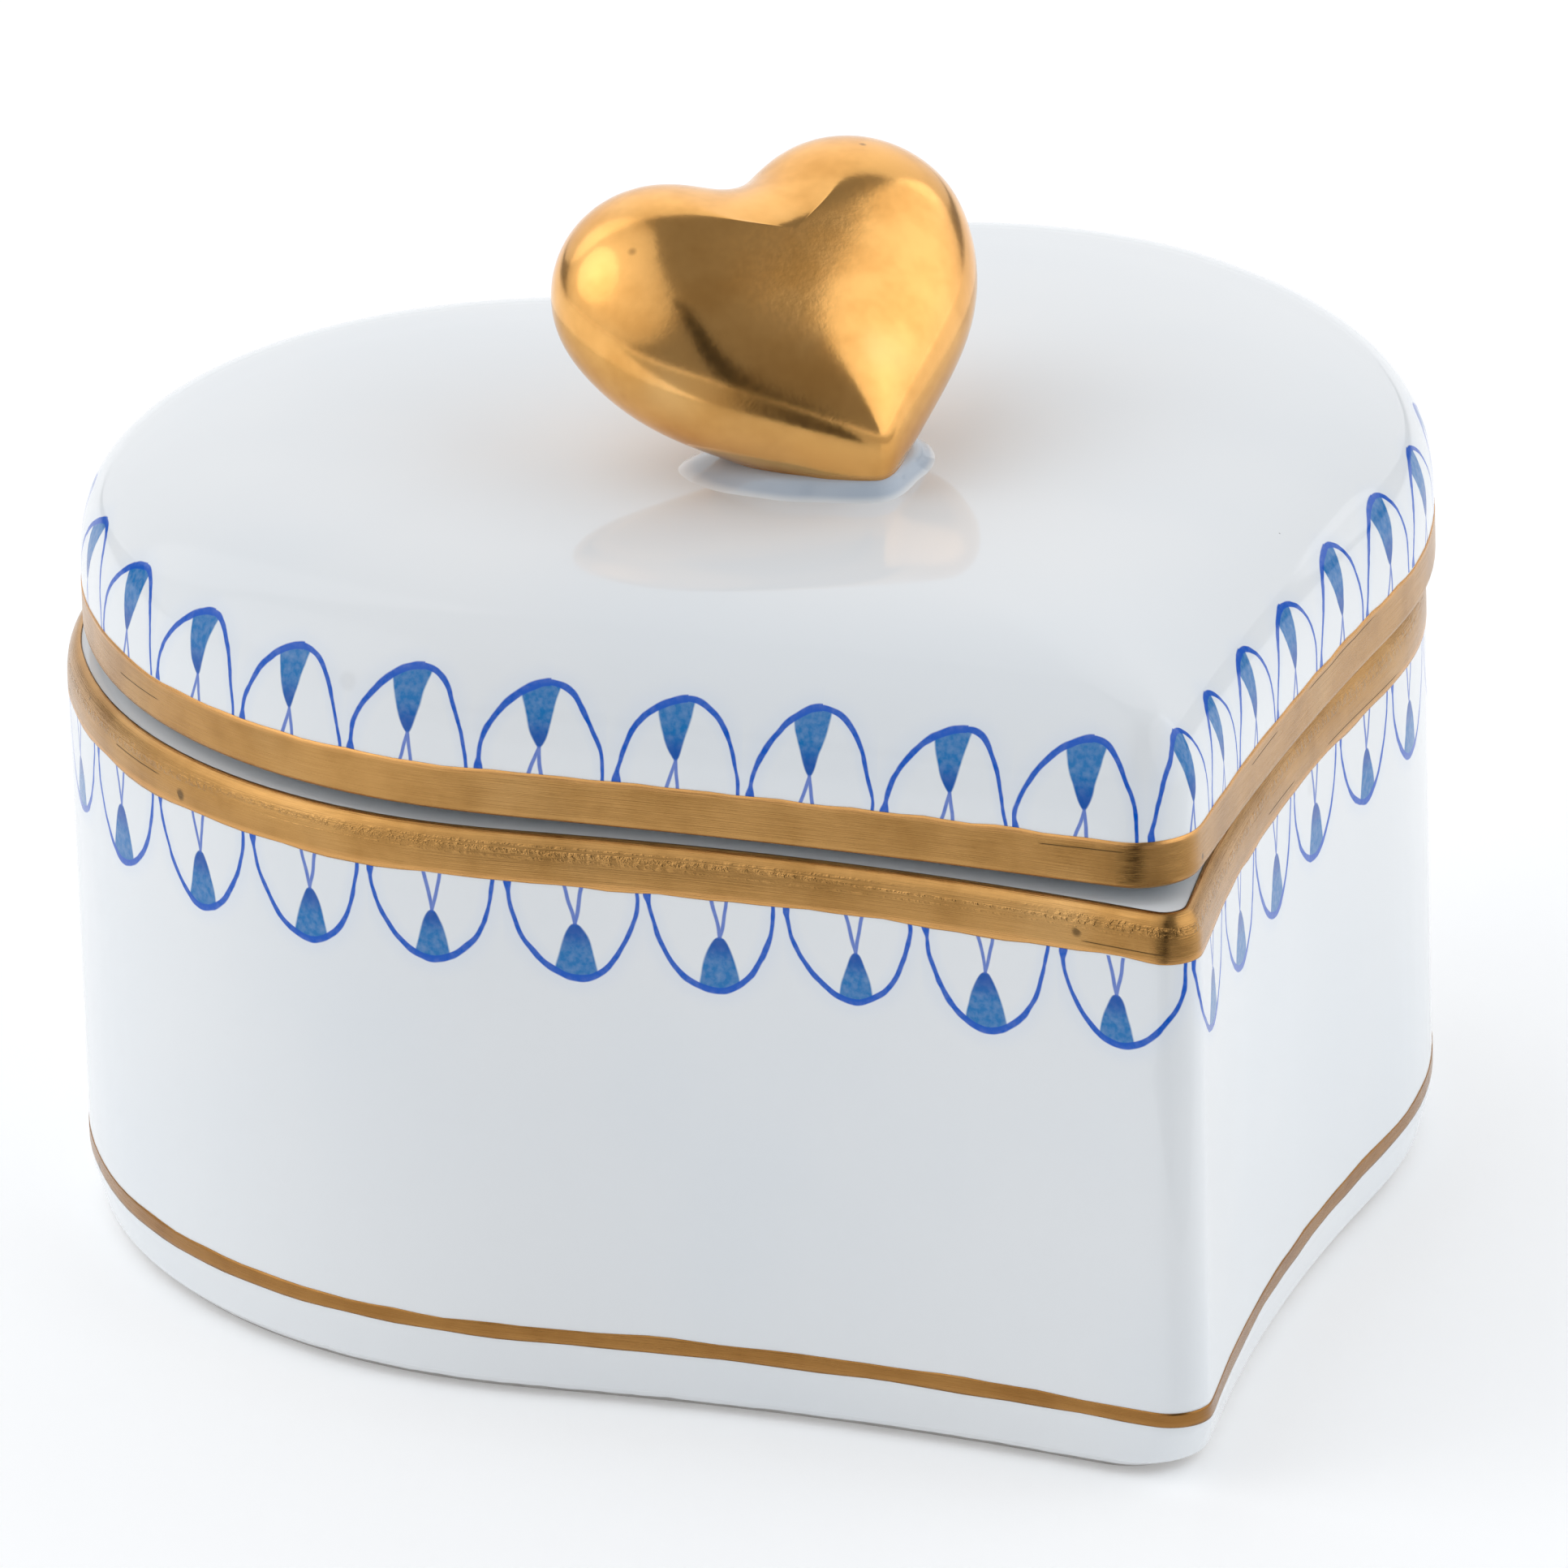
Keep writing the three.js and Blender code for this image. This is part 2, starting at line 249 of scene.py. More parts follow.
def close_on_middle(piece, section, climb, rows):
    """Draws the open ring in to the middle in a few rows and merges the last one."""
    loop = outline(section["heart"], section["inset"])
    middle = complex(0, loop.imag.mean())
    step = -1 if climb < 0 else 1
    for k in range(1, rows):
        share = 1 - k / rows
        bpy.ops.mesh.extrude_edges_move()
        heights = np.full(ring_count, float(section["height"]))
        place_ring(piece, middle + (loop - middle) * share, heights, climb + step * k)
    bpy.ops.mesh.extrude_edges_move()
    bpy.ops.mesh.merge(type="CENTER")


# %% [markdown]
# ## Coordinates for the painter
# The border and the brushed gold both follow the rim. Each piece gets a UV map for them: across it
# counts scallops round the rim, and up it is the distance from the gold's edge in millimetres.


# %% A UV map that counts scallops
SQUEEZE_FROM, SQUEEZE_OVER = -2, 16  # mm from the tip: where crowded scallops begin, and how far they go


def count_scallops(heart, scallops, phase, squeeze=0.0):
    """Scallops counted from the tip at each point of the ring, for a whole number all round."""
    far, whole = distance_round(outline(heart))
    pitch = whole / (scallops - squeeze)
    count = (far - phase) / pitch
    near_tip = np.clip((far - SQUEEZE_FROM) / SQUEEZE_OVER, 0, 1)
    return count + squeeze * near_tip * near_tip * (3 - 2 * near_tip), scallops


def lay_map(piece, counted, edge_climb, direction):
    """The painter's map: scallops round the rim, and mm from the gold's edge."""
    mesh = piece.data
    count, scallops = counted
    around = np.zeros(len(mesh.vertices), int)
    climb = np.zeros(len(mesh.vertices))
    mesh.attributes["around"].data.foreach_get("value", around)
    mesh.attributes["climb"].data.foreach_get("value", climb)
    while mesh.uv_layers:
        mesh.uv_layers.remove(mesh.uv_layers[0])
    map_layer = mesh.uv_layers.new(name="painter")
    for face in mesh.polygons:
        ring = [int(around[v]) for v in face.vertices]
        crosses = max(ring) - min(ring) > ring_count // 2
        for loop, k, v in zip(face.loop_indices, ring, face.vertices):
            u = count[k] + (scallops if crosses and k < ring_count // 2 else 0)
            map_layer.data[loop].uv = (u, direction * (climb[v] - edge_climb))


def climb_at(sections, height, start=0):
    """The distance along a template where it first passes a height, going up from a level."""
    climb = 0.0
    for k in range(1, len(sections)):
        last, here = sections[k - 1], sections[k]
        step = math.hypot(here["inset"] - last["inset"], here["height"] - last["height"])
        low, high = sorted((last["height"], here["height"]))
        if k > start and low <= height <= high and high > low:
            return climb + step * abs(height - last["height"]) / (high - low)
        climb += step
    raise ValueError(f"no level passes {height}")


# %% [markdown]
# ## The bowl
# The bowl is cast with a foot ring to stand on, a plain wall and a gallery, the thin upright that
# holds the lid in place. Its base is wiped bare before firing, and the foot ring's lowest edge is
# painted dark grey, as painted shade where it meets the table.

# %% Draw up the bowl
RIM_DROP, RIM_RUN = 1.8, 0.8  # how far down and how far in the rim's edge is rounded
LEDGE = 3.0  # how far in the flat of the rim is drawn before the gallery takes over
BLUNT_TIP, BLUNT_RISE = 3.6, 6.0  # the tip's radius at the table, and how high up it sharpens
FOOT_TOP = 3.3  # above this the wall is plain
rim_turns = np.linspace(0, math.pi / 2, 9)
rim_round = [(RIM_RUN * (1 - math.cos(t)), rim_z - RIM_DROP * (1 - math.sin(t))) for t in rim_turns]
bowl_template = template(
    (5.4, 0.9, 0), (4.5, 0.0, 0.3), (1.5, 0.0, 0.35), (0.55, 0.9, 0.6), (0.0, 3.1, 1.6), (0.0, 20.0, 0),
) + rim_round + [(LEDGE, rim_z)]
wall_start = next(k for k, (inset, height) in enumerate(bowl_template) if height > FOOT_TOP)
foot_top = bowl_template[wall_start - 1][1]
extra_levels = [(0.0, height) for height in np.arange(4.2, 7.0, 0.4) if height > foot_top]
bowl_template[wall_start:wall_start] = extra_levels


def blunted(height):
    """The bowl's heart, with its tip rubbed rounder towards the table."""
    share = max(0.0, 1 - height / BLUNT_RISE)
    return dict(bowl_heart, blunt=bowl_heart["tip"] + (BLUNT_TIP - bowl_heart["tip"]) * share**1.5)


bowl_levels = [level(blunted(height), inset, height) for inset, height in bowl_template]
bowl_levels += levels(lid_heart, template(
    (3.25, rim_z, 0), (3.25, gallery_top, 0.45), (4.95, gallery_top, 0.5), (4.95, rim_z, 0.0), steps=4))
bowl_levels += levels(bowl_heart, template(
    (4.6, rim_z - 3.2, 0), (4.4, rim_z - 6, 1.5), (4.4, 3.6, 3.2), (9.0, 3.6, 0), steps=8))
bowl = draw_up("porcelain_bowl", bowl_levels)

# %% [markdown]
# ## The lid
# The lid drops over the gallery. Its shoulder climbs steeply from the gilded rim and flattens out
# into a broad crown: a superellipse has just that section.

# %% Draw up the lid
CROWN_WIDTH, CROWN_POWER, CROWN_STEPS = 22.0, 3.3, 200
HOLLOW_WIDTH = 14  # how far in the hollow's ceiling goes on rising
CROWN_END, HOLLOW_END = 19, 18.5  # where the template stops, and the rest is closed level
OUTSIDE_SPACING, INSIDE_SPACING = 0.55, 0.9
SEAT_INSET = 6.2  # in from the rim to the wall of the hollow
LID_ROOF = 3.4


def crown(height, width, power=CROWN_POWER, steps=CROWN_STEPS):
    """The dome's section as (inset, rise), steep at the rim and level at the crown."""
    points = []
    for k in range(steps + 1):
        turn = k / steps * math.pi / 2
        inset = width * (1 - math.cos(turn) ** (2 / power))
        points.append((inset, height * math.sin(turn) ** (2 / power)))
    return points


def even_out(points, spacing):
    """The same section with its points a given distance apart."""
    line = np.array(points)
    travelled = np.append(0, np.cumsum(np.hypot(*np.diff(line, axis=0).T)))
    wanted = np.linspace(0, travelled[-1], int(travelled[-1] / spacing) + 1)
    return list(zip(np.interp(wanted, travelled, line[:, 0]), np.interp(wanted, travelled, line[:, 1])))


dome = crown(lid_top - lid_band_top, CROWN_WIDTH)
outside = [(inset, lid_band_top + rise) for inset, rise in dome]
outside = even_out([point for point in outside if point[0] < CROWN_END], OUTSIDE_SPACING)
ceiling = crown(lid_top - LID_ROOF - gallery_top, HOLLOW_WIDTH)
inside = [(SEAT_INSET + inset, gallery_top + rise) for inset, rise in ceiling]
inside = even_out([point for point in inside if point[0] < HOLLOW_END], INSIDE_SPACING)
rim_template = template((SEAT_INSET, gallery_top, 0), (2.0, gallery_top, 0.4), (2.0, lid_edge, 0.4),
                        (0.0, lid_edge, 0.45), (0.0, lid_band_top, 0))
lid_levels = levels(lid_heart, inside[::-1] + rim_template[1:-1] + outside)
lid = draw_up("porcelain_lid", lid_levels, rows=9)

# %% [markdown]
# ## A lid with slack
# The lid has room round the gallery, so it never lies dead centre. Here it lies a little to the right
# and to the front, and half a degree round. Pieces are drawn square on and settled afterwards.

# %% The loose lid lies a little to one side
LID_SHIFT = Vector((0.65, -0.34, 0)) * MM
LID_TURN = math.radians(-0.47)
bowl_place = Matrix.Translation(Vector((0, -centre_y, 0)) * MM)
lid_place = bowl_place @ Matrix.Translation(LID_SHIFT) @ Matrix.Rotation(LID_TURN, 4, "Z")


def settle(piece, place):
    """Moves a piece's mesh, and leaves its object at the origin."""
    piece.data.transform(place)
    piece.data.update()


print("the lid is", LID_SHIFT.length / MM, "mm off centre")

# %% [markdown]
# ## The gilding
# Liquid bright gold is brushed on over the fired glaze and fired again. It is a film, so each band
# is a very thin closed skin that lies on the glaze, and its edges wander as a hand-held brush does.

# %% A hand-brushed edge
rng = np.random.default_rng(7)
far_round, whole_round = distance_round(outline(bowl_heart))


def hand_wander(size, slowest=5, quickest=60):
    """A wandering line round the ring, in mm, as a sum of waves with whole numbers of turns."""
    turn = (far_round / whole_round) * math.tau
    line = np.zeros(ring_count)
    for waves in range(slowest, quickest):
        line += math.sqrt(slowest / waves) * rng.normal() * np.sin(waves * turn + rng.uniform(0, math.tau))
    return line * size / max(line.std(), 1e-9)


def gild(name, heart, section, film, low_wander, high_wander):
    """A film along a template. Its two long edges wander, and its back lies just under the glaze."""
    shape = heart if callable(heart) else (lambda height: heart)
    front = [level(shape(height), inset - film, height) for inset, height in section]
    back = [level(shape(height), inset + film, height) for inset, height in section][::-1]
    shares = np.linspace(0, 1, len(front))
    heights = [low_wander * max(0, 1 - 5 * t) + high_wander * max(0, 5 * t - 4) for t in shares]
    return draw_up(name, front + back, wobble=heights + heights[::-1], close="ends"), front


still = np.zeros(ring_count)
FILM = 0.035  # how far the gold stands off the glaze
bowl_edge = [(0.0, z) for z in np.linspace(bowl_band_low, rim_z - RIM_DROP, 9)][:-1] + rim_round
bowl_edge = [(inset, z + FILM * inset / RIM_RUN) for inset, z in bowl_edge]
bowl_gold, _ = gild("gilding_on_bowl_rim", bowl_heart, bowl_edge, FILM, hand_wander(0.05), still)

edge_round = template((0.6, lid_edge, 0), (0.0, lid_edge, 0.45), (0.0, lid_band_top, 0), steps=8)[:-1]
edge_upright = [(0.0, z) for z in np.linspace(lid_edge + 0.6, lid_band_top, 9)]
lid_gold, lid_gold_levels = gild(
    "gilding_on_lid_rim", lid_heart, edge_round + edge_upright, FILM, still, hand_wander(0.05))

foot_template = [(0.0, z) for z in np.linspace(foot_line_low, foot_line_high, 7)]
foot_gold, _ = gild("gilding_on_foot", blunted, foot_template, FILM, hand_wander(0.04), hand_wander(0.04))

# %% [markdown]
# ## Where the scallops fall
# The painter divides each rim by eye: 31 scallops on the bowl and 32 on the lid, slightly crowded
# beside the lid's tip. Maps are laid while the pieces are still square on, and then they settle.

# %% Lay the painter's maps
BOWL_SCALLOP, LID_SCALLOP = 7.85, 7.6  # mm of rim to a scallop
bowl_count = count_scallops(bowl_heart, 31, -3.4 - BOWL_SCALLOP / 2)
lid_count = count_scallops(lid_heart, 32, -4.8 - LID_SCALLOP / 2, squeeze=0.55)
lay_map(bowl, bowl_count, climb_at(bowl_levels, bowl_band_low), -1)
ROUND_LEVELS = 8  # levels of the rounded edge, where the same height is passed more than once
crown_start = len(inside) + ROUND_LEVELS
lay_map(lid, lid_count, climb_at(lid_levels, lid_band_top, start=crown_start), 1)
lay_map(bowl_gold, bowl_count, 0.0, -1)
lay_map(lid_gold, lid_count, climb_at(lid_gold_levels, lid_band_top, start=ROUND_LEVELS), 1)
lay_map(foot_gold, bowl_count, 0.0, 1)
for piece in (bowl, bowl_gold, foot_gold):
    settle(piece, bowl_place)
for piece in (lid, lid_gold):
    settle(piece, lid_place)
print("maps:", [piece.name for piece in (bowl, lid, bowl_gold, lid_gold, foot_gold)])

# %% [markdown]
# ## The knob
# The knob is a puffed heart, as if a ball had been rolled inside its outline. It leans back with its
# tip down to the front, and it is cut level where it stands on the pad of luting slip.

# %% Puff a heart
KNOB_STEPS = (6, 10, 12, 44, 12)
KNOB_FLATNESS = 0.8
KNOB_GROW = 0.38  # drawn out by this much, because smoothing shrinks it again
FACE_RISE = 0.12  # how much the two faces still rise to their middles
KNOB_LIFT, KNOB_TILT, KNOB_TURN, KNOB_ROLL = 9.1, 36.0, 6.5, -3.0
KNOB_SIDE, KNOB_BACK = -2.9, -10.2
PUFF_END = math.radians(76)


def puffed_heart(name, grow, rows=9):
    """The knob's heart drawn out by grow and puffed to both sides, lying flat at the origin."""
    ball = knob_heart["lobe"] + grow
    rings = []
    for turn in np.linspace(-PUFF_END, PUFF_END, 29):
        rings.append((ball * (1 - math.cos(turn)) - grow, KNOB_FLATNESS * ball * math.sin(turn)))
    piece = start_ring(name, len(outline(knob_heart, 0, KNOB_STEPS)))
    for k, (inset, height) in enumerate(rings):
        loop = outline(knob_heart, inset, KNOB_STEPS)
        if k:
            bpy.ops.mesh.extrude_edges_move()
        place_ring(piece, loop, np.full(len(loop), height), k)
    for end, step in ((-1, 1), (0, -1)):
        inset, height = rings[end]
        loop = outline(knob_heart, inset, KNOB_STEPS)
        middle = complex(0, loop.imag.mean())
        bpy.ops.mesh.select_all(action="DESELECT")
        bpy.ops.mesh.select_non_manifold()
        keep_ring_at(piece, height)
        for row in range(1, rows):
            share = 1 - row / rows
            rise = step * FACE_RISE * (1 - share * share)
            bpy.ops.mesh.extrude_edges_move()
            place_ring(piece, middle + (loop - middle) * share, np.full(len(loop), height + rise), 0)
        bpy.ops.mesh.extrude_edges_move()
        bpy.ops.mesh.merge(type="CENTER")
    bpy.ops.mesh.select_all(action="SELECT")
    bpy.ops.mesh.normals_make_consistent(inside=False)
    bpy.ops.mesh.vertices_smooth(factor=0.5, repeat=38)
    bpy.ops.object.mode_set(mode="OBJECT")
    return piece


def keep_ring_at(piece, height):
    """Of the open edges selected, keeps only those at one height."""
    sheet = bmesh.from_edit_mesh(piece.data)
    for vertex in sheet.verts:
        if abs(vertex.co.z - height * MM) > 1e-6:
            vertex.select_set(False)
    sheet.select_flush(False)
    bmesh.update_edit_mesh(piece.data)


def saw_level(piece, height, keep_above):
    """Cuts a piece level at a height in mm, closes the cut and drops the other side."""
    bpy.ops.object.select_all(action="DESELECT")
    piece.select_set(True)
    bpy.context.view_layer.objects.active = piece
    bpy.ops.object.mode_set(mode="EDIT")
    bpy.ops.mesh.select_all(action="SELECT")
    bpy.ops.mesh.bisect(plane_co=(0, 0, height * MM), plane_no=(0, 0, 1), use_fill=True,
                        clear_inner=keep_above, clear_outer=not keep_above)
    bpy.ops.object.mode_set(mode="OBJECT")


knob_place = (
    lid_place
    @ Matrix.Translation(Vector((KNOB_SIDE, KNOB_BACK, lid_top + KNOB_LIFT)) * MM)
    @ Matrix.Rotation(math.radians(KNOB_TURN), 4, "Z")
    @ Matrix.Rotation(math.radians(KNOB_TILT), 4, "X")
    @ Matrix.Rotation(math.radians(KNOB_ROLL), 4, "Y")
)
knob = puffed_heart("gilded_heart_knob", KNOB_GROW)
settle(knob, knob_place)
saw_level(knob, pad_top - 0.05, keep_above=True)
bpy.ops.object.shade_smooth_by_angle(angle=math.radians(50))
knob_top = max(vertex.co.z for vertex in knob.data.vertices) / MM
print(f"knob: {len(knob.data.polygons)} faces, top at {knob_top:.1f} mm")

# %% [markdown]
# ## The luting pad
# The knob is stuck down with slip that squeezes out and is wiped to a soft step. Its skirt is
# painted a dark blue-grey towards the knob, as painted shade under it.

# %% Take the knob's outline just above the lid
PAD_POINTS = 120
PAD_HUG, PAD_WEDGE = 0.15, 1.1  # how far up the knob the slip is wiped, and fills under it


def section_at(piece, height):
    """The outline of a piece at a height, at even angles round its middle, in mm."""
    copy = bpy.data.objects.new("slice", piece.data.copy())
    bpy.context.scene.collection.objects.link(copy)
    saw_level(copy, height, keep_above=True)
    cut = [v.co for v in copy.data.vertices if abs(v.co.z - height * MM) < 1e-6]
    edge = np.array([complex(point.x, point.y) / MM for point in cut])
    bpy.data.objects.remove(copy)
    middle = (edge.real.min() + edge.real.max()) / 2 + 0.5j * (edge.imag.min() + edge.imag.max())
    spokes = edge - middle
    angles = np.linspace(-math.pi, math.pi, PAD_POINTS, endpoint=False)
    order = np.argsort(np.angle(spokes))
    reach = np.interp(angles, np.angle(spokes)[order], np.abs(spokes)[order], period=math.tau)
    for _ in range(3):
        reach = (np.roll(reach, 1) + 2 * reach + np.roll(reach, -1)) / 4
    return middle, reach * np.exp(1j * angles)


knob_middle, hug = section_at(knob, pad_top + PAD_HUG)
wedge_middle, wedge = section_at(knob, pad_top + PAD_WEDGE)
print(f"the knob is {np.abs(hug).max() * 2:.1f} mm long where the slip ends")

# %% [markdown]
# ## A skirt of slip
# Each ring of the pad lies a share of the way from the knob's outline at the seat to its wider
# outline above, spreads out by a little more, and sinks. The last ones go under the lid's glaze.

# %% Wipe the slip to a soft skirt
pad_profile = [  # share of the way, spread in mm, height in mm over the pad's top
    (0.0, -0.25, 0.25), (0.0, 0.03, 0.15), (0.15, 0.10, 0.05), (0.4, 0.12, -0.2), (0.65, 0.14, -0.5),
    (0.85, 0.20, -0.75), (1.0, 0.24, -0.92), (1.0, 0.36, -1.05), (1.0, 0.45, -1.5),
]
pad = start_ring("luting_pad", PAD_POINTS)
for k, (share, spread, rise) in enumerate(pad_profile):
    if k:
        bpy.ops.mesh.extrude_edges_move()
    outward = hug / np.abs(hug)
    ring = (1 - share) * (knob_middle + hug) + share * (wedge_middle + wedge) + spread * outward
    place_ring(pad, ring, np.full(PAD_POINTS, pad_top + rise), k)
bpy.ops.mesh.extrude_edges_move()
bpy.ops.mesh.merge(type="CENTER")
bpy.ops.mesh.select_all(action="DESELECT")
bpy.ops.mesh.select_non_manifold()
bpy.ops.mesh.extrude_edges_move()
bpy.ops.mesh.merge(type="CENTER")
bpy.ops.mesh.select_all(action="SELECT")
bpy.ops.mesh.normals_make_consistent(inside=False)
bpy.ops.object.mode_set(mode="OBJECT")
bpy.ops.object.shade_smooth_by_angle(angle=math.radians(50))
print("pad:", len(pad.data.polygons), "faces")

# %% [markdown]
# ## Writing a finish as maths
# A shader is a network of nodes, and long networks are hard to read. This small class wraps one
# socket, so that adding, multiplying and comparing sockets reads as plain arithmetic.


# %% A socket that does arithmetic
class Wire:
    """One output of a finish's network. Arithmetic on it adds Math nodes."""

    def __init__(self, finish, socket):
        self.finish, self.socket = finish, socket

    def maths(self, operation, *others):
        values = dict(enumerate((self, *others)))
        return self.finish.node("ShaderNodeMath", {"operation": operation}, values)

    def __add__(self, other):
        return self.maths("ADD", other)

    def __sub__(self, other):
        return self.maths("SUBTRACT", other)

    def __rsub__(self, other):
        return self.maths("MULTIPLY_ADD", -1, other)

    def __mul__(self, other):
        return self.maths("MULTIPLY", other)

    def __truediv__(self, other):
        return self.maths("DIVIDE", other)

    def __pow__(self, other):
        return self.maths("POWER", other)

    def __abs__(self):
        return self.maths("ABSOLUTE")

    __radd__ = __add__
    __rmul__ = __mul__

    def ramp(self, start, end):
        """0 at start, 1 at end, with a soft turn at both."""
        settings = {"interpolation_type": "SMOOTHSTEP"}
        return self.finish.node("ShaderNodeMapRange", settings, {0: self, 1: start, 2: end, 3: 0, 4: 1})


class Finish:
    """A material and its Principled shader."""

    def __init__(self, name, **constants):
        self.material = bpy.data.materials.new(name)
        self.material.use_nodes = True
        self.tree = self.material.node_tree
        self.shader = self.tree.nodes["Principled BSDF"]
        for socket, value in constants.items():
            self.shader.inputs[socket.replace("_", " ")].default_value = value

    def node(self, kind, settings=None, inputs=None, output=0):
        """Adds a node: its settings first, then values or wires on its inputs."""
        node = self.tree.nodes.new(kind)
        for key, value in (settings or {}).items():
            setattr(node, key, value)
        for key, value in (inputs or {}).items():
            self.plug(node.inputs[key], value)
        return Wire(self, node.outputs[output])

    def plug(self, socket, value):
        if isinstance(value, Wire):
            self.tree.links.new(value.socket, socket)
        else:
            socket.default_value = value

    def set(self, **inputs):
        for socket, value in inputs.items():
            self.plug(self.shader.inputs[socket.replace("_", " ")], value)

    def blend(self, share, first, second):
        """From the first colour to the second."""
        return self.node("ShaderNodeMix", {"data_type": "RGBA"}, {0: share, 6: first, 7: second}, output=2)

    def chances(self, number):
        """Three steady chances between 0 and 1 for a number, such as the number of a scallop."""
        settings = {"noise_dimensions": "1D"}
        colour = self.node("ShaderNodeTexWhiteNoise", settings, {"W": number}, output="Color")
        return [self.node("ShaderNodeSeparateColor", None, {0: colour}, output=k) for k in range(3)]

    def noise(self, place, scale, detail=2.0, roughness=0.5, dimensions="3D"):
        return self.node("ShaderNodeTexNoise", {"noise_dimensions": dimensions},
                         {"Vector": place, "Scale": scale, "Detail": detail, "Roughness": roughness})

    def bump(self, height, distance, strength=1.0, normal=None):
        inputs = {"Height": height, "Distance": distance, "Strength": strength}
        if normal is not None:
            inputs["Normal"] = normal
        return self.node("ShaderNodeBump", None, inputs)

    def here(self):
        """The point's own place, in metres."""
        return self.node("ShaderNodeTexCoord", output="Object")

    def painter(self):
        """The painter's map whole, then scallops round the rim, then mm from the gold's edge."""
        place = self.node("ShaderNodeUVMap", {"uv_map": "painter"})
        split = [self.node("ShaderNodeSeparateXYZ", None, {0: place}, output=k) for k in (0, 1)]
        return place, *split


# %% [markdown]
# ## The painted border
# Each scallop is one stroke that starts in a blob of colour at the gold, runs up and drops steeply
# back. A leaf of thin wash hangs from its crown and ends in two hairlines to the gold. The painter's
# map gives the place inside a scallop, and the distance to each stroke gives a line of any width.

# %% One scallop as distances to its strokes
COBALT = (0.0, 0.092, 0.52, 1)
WASH = (0.010, 0.165, 0.45, 1)
WASH_DEEP = (0.003, 0.065, 0.37, 1)


def painted_border(finish, pitch, lean, power_left, power_right, height, leaf):
    """How strongly the line, the wash and its deep tip cover the glaze, and a faint halo."""
    place, u, v = finish.painter()
    cell = u.maths("FLOOR")
    r1, r2, r3 = finish.chances(cell + 0.5 + height)
    shake = finish.node("ShaderNodeMapping", None, {"Vector": place, "Scale": (pitch, 1, 1)})
    quick = (finish.noise(shake, 0.45, 1, 0.5, "2D") - 0.5) * 0.26
    slow = (finish.noise(shake, 0.16, 1, 0.5, "2D") - 0.5) * 0.5
    x = (u - cell - 0.5) * pitch + (quick + slow) + (r1 - 0.5) * 0.35
    y = v + (finish.noise(shake, 0.4, 1, 0.5, "2D") - 0.5) * 0.14
    tall = height + (r2 - 0.5) * 0.7
    crown_x = lean * pitch + (r3 - 0.5) * pitch * 0.12
    side = (x - crown_x).maths("GREATER_THAN", 0)
    half = (0.462 * pitch + crown_x) * (1 - side) + (0.445 * pitch - crown_x) * side
    power = power_left + (power_right - power_left) * side
    across = abs(x - crown_x) / half
    up = y.maths("MAXIMUM", 0) / tall
    outer = across ** power + up ** power
    slope_x = across.maths("MAXIMUM", 0.02) ** (power - 1) / half
    slope_y = up.maths("MAXIMUM", 0.02) ** (power - 1) / tall
    slope = (slope_x * slope_x + slope_y * slope_y) ** 0.5
    far = abs(outer ** (2 / (power_left + power_right)) - 1) / slope
    blob = (1 - side) * (1 - y.ramp(0.0, 0.7)) * 0.12
    width = 0.11 + up * up * 0.08 + blob + (finish.noise(shake, 1.1, 1, 0.5, "2D") - 0.5) * 0.07
    line = 1 - far.ramp(width - 0.035, width + 0.045)
    line = line * y.maths("GREATER_THAN", -0.05)

    # The leaf: wide at the crown and drawn to a tip, or the other way up on the bowl.
    from_tip = (y - leaf["tip"]) / (tall - leaf["tip"])
    leaf_x = x - crown_x * leaf["follow"] - leaf["side"] - (r1 - 0.5) * 0.5
    belly = from_tip.maths("MAXIMUM", 0.0) ** leaf["power"]
    belly = belly * leaf["width"] * (0.9 + r2 * 0.25)
    inside = (belly - abs(leaf_x)).ramp(-0.06, 0.08)
    wash = inside * from_tip.ramp(-0.02, 0.05) * (1 - (outer - 1).ramp(-0.05, 0.05))
    deep = wash * (1 - from_tip.ramp(0.1, 0.55))

    # Two hairlines splay from the leaf's tip to the gold.
    splay = (1 - (y / leaf["tip"]).maths("MINIMUM", 1.0)) * leaf["splay"]
    hair_far = abs(abs(leaf_x + splay * leaf["skew"]) - splay)
    below_tip = 1 - (y - leaf["tip"]).ramp(0.0, 0.25)
    hair = (1 - hair_far.ramp(0.07, 0.15)) * below_tip * y.maths("GREATER_THAN", -0.05)
    halo = (1 - far.ramp(0.1, 1.1)) * y.ramp(-0.3, 0.3)
    return dict(line=line.maths("MAXIMUM", hair * 0.85), wash=wash, deep=deep, halo=halo, shake=shake)


# %% [markdown]
# ## The glaze
# Hard-paste porcelain is a cool white under a glassy coat. Up close the coat is faintly wavy, and
# carries a few iron specks and pinholes.

# %% Glaze with its border and its flaws
GLAZE = (0.80, 0.825, 0.845, 1)
GLAZE_COOL = (0.74, 0.785, 0.825, 1)
# a dark blue-grey, painted on the pad as shade under the knob
PAD_PAINTED_SHADE = (0.46, 0.54, 0.64, 1)
HALO = (0.35, 0.52, 0.85, 1)
SMUDGE = (0.30, 0.31, 0.33, 1)
IRON_SPECK = (0.07, 0.065, 0.07, 1)
# the bare foot's clay, painted dark grey as shade where the foot meets the table
CLAY_IN_PAINTED_SHADE_DARK = (0.26, 0.25, 0.24, 1)
CLAY_IN_PAINTED_SHADE_PALE = (0.44, 0.42, 0.40, 1)


